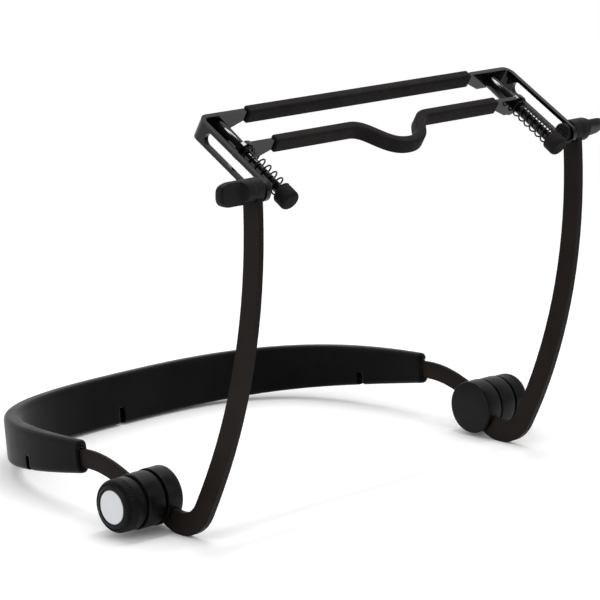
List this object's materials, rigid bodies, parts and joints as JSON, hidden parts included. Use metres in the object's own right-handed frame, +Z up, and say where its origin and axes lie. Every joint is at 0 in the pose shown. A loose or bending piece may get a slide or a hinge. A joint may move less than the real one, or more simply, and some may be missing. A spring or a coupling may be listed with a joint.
{
  "type": "harmonica holder",
  "caption": "Neck-worn harmonica holder: padded neck band, two bowed arms on locking hubs, and a sprung slotted clamp with wing screws at the arm heads.",
  "frame": {"origin": "on the table under the middle of the overall box, with the holder standing on the bends of its arms and the back of its pad", "axes": "+X is the wearer's left, -Y is forward past the mouth, +Z is up"},
  "size_m": [0.2128, 0.1754, 0.1508],
  "materials": {
    "satin_enamel": "satin near-black enamel",
    "gloss_enamel": "gloss black enamel",
    "sleeve_rubber": "matte",
    "pad_rubber": "matte foam rubber",
    "hub_plastic": "satin moulded",
    "wing_plastic": "soft-touch",
    "badge_white": "plain",
    "spring_steel": "blackened",
    "plain_steel": "plain",
    "insert_brass": "plain"
  },
  "bodies": {
    "neck": {"neck_band": "satin_enamel", "neck_pad": "pad_rubber", "hub_body_left": "hub_plastic", "hub_body_right": "hub_plastic"},
    "knob_left": {"hub_knob_left": "hub_plastic", "hub_insert_left": "insert_brass", "hub_badge_left": "badge_white"},
    "knob_right": {"hub_knob_right": "hub_plastic", "hub_insert_right": "insert_brass", "hub_badge_right": "badge_white"},
    "arms": {"arm_left": "satin_enamel", "arm_right": "satin_enamel", "hub_cap_left": "hub_plastic", "hub_cap_right": "hub_plastic", "hub_bolt_left": "plain_steel", "hub_bolt_right": "plain_steel", "hub_spacer_left": "hub_plastic", "hub_spacer_right": "hub_plastic", "slot_washer_left": "plain_steel", "slot_washer_right": "plain_steel"},
    "wing_left": {"wing_knob_left": "wing_plastic", "wing_screw_left": "plain_steel"},
    "wing_right": {"wing_knob_right": "wing_plastic", "wing_screw_right": "plain_steel"},
    "nuts": {"slot_nut_left": "gloss_enamel", "slot_nut_right": "gloss_enamel"},
    "frame": {"clamp_frame": "gloss_enamel", "fixed_sleeve": "sleeve_rubber", "guide_post_left": "gloss_enamel", "guide_post_right": "gloss_enamel", "rod_cap_left": "sleeve_rubber", "rod_cap_right": "sleeve_rubber", "clamp_spring_left": "spring_steel", "clamp_spring_right": "spring_steel"},
    "jaw": {"moving_bar": "gloss_enamel", "moving_sleeve": "sleeve_rubber"}
  },
  "joints": [
    {"name": "arm_swing", "type": "hinge", "parent": "neck", "child": "arms", "pos_m": [0, -0.0317, 0.01164], "axis": [1, 0, 0], "range_deg": [-85, 75]},
    {"name": "hub_lock_left", "type": "hinge", "parent": "neck", "child": "knob_left", "pos_m": [0, -0.0317, 0.01164], "axis": [1, 0, 0], "range_deg": [0, 360]},
    {"name": "hub_lock_right", "type": "hinge", "parent": "neck", "child": "knob_right", "pos_m": [0, -0.0317, 0.01164], "axis": [-1, 0, 0], "range_deg": [0, 360]},
    {"name": "wing_turn_left", "type": "hinge", "parent": "arms", "child": "wing_left", "pos_m": [0, -0.08087, 0.12833], "axis": [1, 0, 0], "range_deg": [0, 360]},
    {"name": "wing_turn_right", "type": "hinge", "parent": "arms", "child": "wing_right", "pos_m": [0, -0.08087, 0.12833], "axis": [-1, 0, 0], "range_deg": [0, 360]},
    {"name": "clamp_tilt", "type": "hinge", "parent": "arms", "child": "nuts", "pos_m": [0, -0.08087, 0.12833], "axis": [1, 0, 0], "range_deg": [-60, 60]},
    {"name": "clamp_reach", "type": "slide", "parent": "nuts", "child": "frame", "axis": [0, -0.8655, -0.5009], "range_m": [-0.001, 0.0277]},
    {"name": "jaw_open", "type": "slide", "parent": "frame", "child": "jaw", "axis": [0, -0.8655, -0.5009], "range_m": [0, 0.012], "stiffness_N_per_m": 600, "springref_m": -0.006, "deforming": ["clamp_spring_left", "clamp_spring_right"]}
  ]
}
